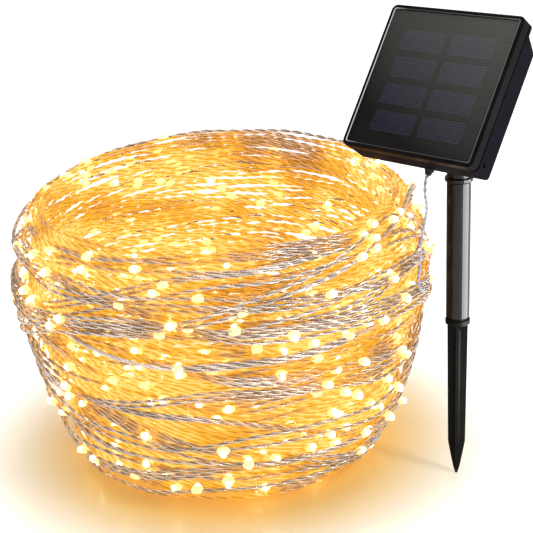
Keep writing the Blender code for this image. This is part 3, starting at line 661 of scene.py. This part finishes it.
for k in range(CORDS):
    seg = p[cuts[k]:cuts[k + 1] + 1]
    phase = 2 * math.pi * s[cuts[k]] / TWIST
    wire, line = twisted("string_wire_%d" % (k + 1), seg, 2.4 * MM, M_WIRE, phase=phase, pitch=TWIST)
    glow = np.interp(np.linspace(cuts[k], cuts[k + 1], len(line)), np.arange(len(p)), lit)
    painted_glow_attr = wire.data.attributes.new("lit", 'FLOAT', 'POINT')
    out = np.zeros(len(wire.data.vertices), dtype=np.float32)
    wire.data.attributes["groove"].data.foreach_get("value", out)
    each = np.tile(np.repeat(glow, 5), 2)
    # painted shade: less glow in the grooves between the strands
    painted_glow_attr.data.foreach_set("value", (each * (0.70 + 0.30 * out)).astype(np.float32))
    lo, hi = s[cuts[k]], s[cuts[k + 1]]
    mine = lamp_at[(lamp_at >= lo) & (lamp_at < hi)]
    idx = np.clip(((mine / total) * (len(p) - 1)).astype(int), 2, len(p) - 3)
    centres = p[idx]
    tan = p[idx + 2] - p[idx - 2]
    tan /= np.linalg.norm(tan, axis=1)[:, None]
    radial = np.stack([centres[:, 0] - COIL_X, centres[:, 1] - COIL_Y, 0 * centres[:, 0]], 1)
    radial /= np.linalg.norm(radial, axis=1)[:, None]
    local = np.random.default_rng(100 + k)
    flip = np.where(local.uniform(size=len(mine)) < 0.78, 1.0, -1.0)
    outs = radial * flip[:, None] + np.stack([0 * mine, 0 * mine, local.uniform(-0.7, 0.9, len(mine))], 1)
    outs[:, 2] = np.where(centres[:, 2] < 12 * MM, np.abs(outs[:, 2]), outs[:, 2])
    outs -= tan * (outs * tan).sum(1)[:, None]
    outs /= np.linalg.norm(outs, axis=1)[:, None]
    drops = lamps("lamp_drops_%d" % (k + 1), centres, tan, outs, (4.8 * MM, 2.7 * MM, 3.0 * MM), (DV, DQ), M_DROP, 0.7 * MM)
    chips = lamps("lamp_chips_%d" % (k + 1), centres, tan, outs, (2.7 * MM, 2.4 * MM, 2.4 * MM), (CV, CQ), M_CHIP, 2.8 * MM)
    extra = [drops, chips]
    pick = np.nonzero((local.uniform(size=len(mine)) < np.where((flip > 0) & (centres[:, 2] > 0.15), 0.42, 0.14)) & (centres[:, 2] > 14 * MM))[0]
    if len(pick):
        turn = local.uniform(0, 2 * math.pi, len(pick))
        side = np.cross(outs[pick], tan[pick])
        lay_dir = tan[pick] * np.cos(turn)[:, None] + side * np.sin(turn)[:, None]
        extra.append(lamps("lamp_sleeves_%d" % (k + 1), centres[pick] + outs[pick] * 1.0 * MM, lay_dir, outs[pick],
                           (7.0 * MM, 6.0 * MM, 1.3 * MM), (SV, SQ), M_SLEEVE_CLEAR, 1.2 * MM))
    last = k == CORDS - 1
    if last:
        e = p[-1]
        et = p[-1] - p[-4]
        et /= np.linalg.norm(et)
        up_ref = np.array([0.0, 0.0, 1.0])
        cap = lamps("string_end_cap", [e + et * 3.0 * MM], [et], [up_ref - et * et[2]], (5.0 * MM, 1.7 * MM, 1.5 * MM), (DV, DQ), M_LEAD, 0.0)
        extra.append(cap)
    for o in [wire] + extra:
        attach(o, "stake")
    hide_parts("string_coil")
    declare(line)

# ------------------------------------------------------- CAD nodes' materials
FINISH = {"front_frame": M_FRAME, "panel_glass": M_COVER, "solar_board": M_BOARD, "seal_gasket": M_RUBBER, "back_case": M_CASE,
          "battery": M_SLEEVE, "battery_spring": M_STEEL, "battery_contact": M_STEEL, "circuit_board": M_PCB,
          "power_switch": M_BOARD, "mode_switch": M_BOARD, "power_button": M_BUTTON, "mode_button": M_BUTTON,
          "cable_gland": M_RUBBER, "hinge_bolt": M_STEEL, "hinge_knob": M_FRAME, "neck_post": M_STAKE, "neck_ring": M_STAKE,
          "stake_tube": M_STAKE, "ground_spike": M_SPIKE}
for i in range(1, 9):
    FINISH["solar_cell_%d" % i] = M_CELL
for i in range(1, 5):
    FINISH["case_screw_%d" % i] = M_STEEL
for name, mat in FINISH.items():
    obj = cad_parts[name]
    if not obj.material_slots:
        obj.data.materials.append(mat)
    for ms in obj.material_slots:
        ms.material = mat

# ------------------------------------------------ lip round the laminate, with a painted highlight brightest along its left edge
M_LIP, nt, sh = new_mat("bezel_lip_painted_highlight")
(cx, cy), co = head_axes(nt)
n1 = node(nt, "ShaderNodeTexNoise")
n1.inputs["Scale"].default_value = 90.0
nt.links.new(co.outputs["Object"], n1.inputs["Vector"])
ramp = node(nt, "ShaderNodeValToRGB")
ramp.color_ramp.elements[0].position, ramp.color_ramp.elements[0].color = 0.0, (0.50, 0.50, 0.50, 1)
ramp.color_ramp.elements[1].position, ramp.color_ramp.elements[1].color = 1.0, (0.13, 0.13, 0.135, 1)
e = ramp.color_ramp.elements.new(0.10)
e.color = (0.035, 0.035, 0.035, 1)
e = ramp.color_ramp.elements.new(0.9)
e.color = (0.06, 0.06, 0.06, 1)
# painted highlight: bright at the left edge, dark across the middle, a little lighter at the right
span = node(nt, "ShaderNodeMapRange")
span.inputs["From Min"].default_value = -0.047
span.inputs["From Max"].default_value = 0.047
nt.links.new(math_node(nt, 'ADD', cx, math_node(nt, 'MULTIPLY', math_node(nt, 'SUBTRACT', n1.outputs["Fac"], 0.5), 0.004)), span.inputs["Value"])
nt.links.new(span.outputs["Result"], ramp.inputs["Fac"])
nt.links.new(ramp.outputs["Color"], sh.inputs["Base Color"])
setp(sh, Roughness=0.3, Specular_IOR_Level=0.4)
TRAY_HALF, FACE_Z = 47.2 * MM, 40.5 * MM
lv, lq = [], []
outline = []
for sx, sy, a0 in ((1, 1, 0.0), (-1, 1, 0.5), (-1, -1, 1.0), (1, -1, 1.5)):
    for k in range(5):
        a = math.pi * (a0 + 0.5 * k / 4)
        outline.append((sx * (TRAY_HALF - 1.5 * MM) + 1.5 * MM * math.cos(a), sy * (TRAY_HALF - 1.5 * MM) + 1.5 * MM * math.sin(a)))
PROFILE = ((-0.18, -0.55), (-0.18, -0.1), (0.0, 0.10), (0.22, 0.10), (0.34, 0.02), (0.34, -0.55))
for x, y in outline:
    nrm = math.hypot(x, y)
    for off, h in PROFILE:
        f = 1.0 + off * MM / TRAY_HALF
        lv.append(tuple(head_point(x * f, y * f, FACE_Z + h * MM)))
m, c = len(PROFILE), len(outline)
for i in range(c):
    for j in range(m):
        lq.append((i * m + j, i * m + (j + 1) % m, ((i + 1) % c) * m + (j + 1) % m, ((i + 1) % c) * m + j))
lip = build("bezel_lip", lv, lq, [], M_LIP)
import bmesh
bm = bmesh.new()
bm.from_mesh(lip.data)
bmesh.ops.recalc_face_normals(bm, faces=bm.faces)
bm.to_mesh(lip.data)
bm.free()
for poly in lip.data.polygons:
    poly.use_smooth = False
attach(lip, "head")

# --------------------------------------------------------------- floor, light
mesh = bpy.data.meshes.new("floor")
mesh.from_pydata([(-4, -4, 0), (4, -4, 0), (4, 4, 0), (-4, 4, 0)], [], [(0, 1, 2, 3)])
M_FLOOR, nt, sh = new_mat("pale_floor")
setp(sh, Roughness=0.3, Specular_IOR_Level=0.3, Emission_Strength=0.56)
# painted light and shade: round the coil the floor's colour and glow turn amber and dimmer, fading to white 0.30 m
# out
co = node(nt, "ShaderNodeTexCoord")
off = node(nt, "ShaderNodeVectorMath", operation='SUBTRACT')
off.inputs[1].default_value = (COIL_X, COIL_Y, 0.0)
nt.links.new(co.outputs["Object"], off.inputs[0])
far = node(nt, "ShaderNodeVectorMath", operation='LENGTH')
nt.links.new(off.outputs[0], far.inputs[0])
painted_pool = node(nt, "ShaderNodeMapRange")
painted_pool.inputs["From Min"].default_value = 0.0
painted_pool.inputs["From Max"].default_value = 0.30
nt.links.new(far.outputs["Value"], painted_pool.inputs["Value"])
glow = node(nt, "ShaderNodeValToRGB")
els = glow.color_ramp.elements
els[0].position, els[0].color = 0.0, (0.52, 0.25, 0.03, 1)
els[1].position, els[1].color = 1.0, (1.0, 1.0, 1.0, 1)
for pos, col in ((0.34, (0.52, 0.29, 0.06)), (0.41, (0.53, 0.36, 0.13)), (0.48, (0.56, 0.45, 0.27)), (0.55, (0.61, 0.56, 0.46)), (0.66, (0.80, 0.78, 0.74))):
    e = els.new(pos)
    e.color = (*col, 1)
nt.links.new(painted_pool.outputs["Result"], glow.inputs["Fac"])
nt.links.new(glow.outputs["Color"], sh.inputs["Base Color"])
nt.links.new(glow.outputs["Color"], sh.inputs["Emission Color"])
floor = link(mesh, "floor", M_FLOOR)

world = bpy.data.worlds.new("studio")
scene.world = world
world.use_nodes = True
bg = world.node_tree.nodes["Background"]
bg.inputs["Color"].default_value = (1.0, 1.0, 1.0, 1.0)
bg.inputs["Strength"].default_value = 0.56


def area(name, place, target, size, watts, colour=(1, 1, 1)):
    data = bpy.data.lights.new(name, 'AREA')
    data.shape = 'RECTANGLE'
    data.size, data.size_y = size
    data.energy = watts
    data.color = colour
    obj = bpy.data.objects.new(name, data)
    scene.collection.objects.link(obj)
    obj.location = place
    obj.rotation_euler = (Vector(target) - Vector(place)).to_track_quat('-Z', 'Y').to_euler()
    return obj


area("key_right", (0.9, -0.7, 0.9), (0, 0, 0.15), (0.25, 0.9), 9.0)
area("top_soft", (-0.2, 0.1, 1.5), (-0.1, 0, 0), (1.2, 1.2), 9.0)
area("strip_right", (0.104, -0.060, 0.105), (0.0, 0.0, 0.105), (0.14, 0.21), 1.5)
bpy.data.objects["strip_right"].visible_camera = False
for name, place, power, radius in (("glow_low", (COIL_X, COIL_Y, 0.05), 0.05, 0.03), ("glow_mid", (COIL_X, COIL_Y, 0.12), 0.05, 0.03)):
    data = bpy.data.lights.new(name, 'POINT')
    data.energy = power
    data.color = (1.0, 0.36, 0.03)
    data.shadow_soft_size = radius
    obj = bpy.data.objects.new(name, data)
    scene.collection.objects.link(obj)
    obj.location = place

# the string's light falls on the string and the floor; the strip is for the stake
string_side = bpy.data.collections.new("string_side")
stake_side = bpy.data.collections.new("stake_side")
string_side.objects.link(floor)
glowing = [o for o in bpy.data.objects if o.type == 'MESH' and o.name.startswith(("string_wire_", "lamp_drops_", "lamp_chips_", "lamp_sleeves_"))]
for obj in glowing:
    string_side.objects.link(obj)
for name in ("stake_tube", "ground_spike", "neck_ring", "neck_post", "hinge_knob"):
    stake_side.objects.link(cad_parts[name])
for obj in glowing + [bpy.data.objects["glow_low"], bpy.data.objects["glow_mid"]]:
    obj.light_linking.receiver_collection = string_side
bpy.data.objects["strip_right"].light_linking.receiver_collection = stake_side

scene.view_settings.view_transform = 'Standard'
scene.view_settings.look = 'None'
scene.view_settings.exposure = 0.0
scene.view_settings.gamma = 1.0

# the lens's own bloom round the lamps
scene.use_nodes = True
ct = scene.node_tree
ct.nodes.clear()
rl = ct.nodes.new("CompositorNodeRLayers")
gl = ct.nodes.new("CompositorNodeGlare")
gl.glare_type = 'BLOOM'
gl.quality = 'HIGH'
for key, value in (("Threshold", 3.0), ("Smoothness", 0.2), ("Strength", 0.42), ("Size", 0.24), ("Saturation", 1.0)):
    if key in gl.inputs:
        gl.inputs[key].default_value = value
if "Tint" in gl.inputs:
    gl.inputs["Tint"].default_value = (1.0, 0.62, 0.16, 1.0)
cp = ct.nodes.new("CompositorNodeComposite")
ct.links.new(rl.outputs["Image"], gl.inputs["Image"])
ct.links.new(gl.outputs["Image"], cp.inputs["Image"])
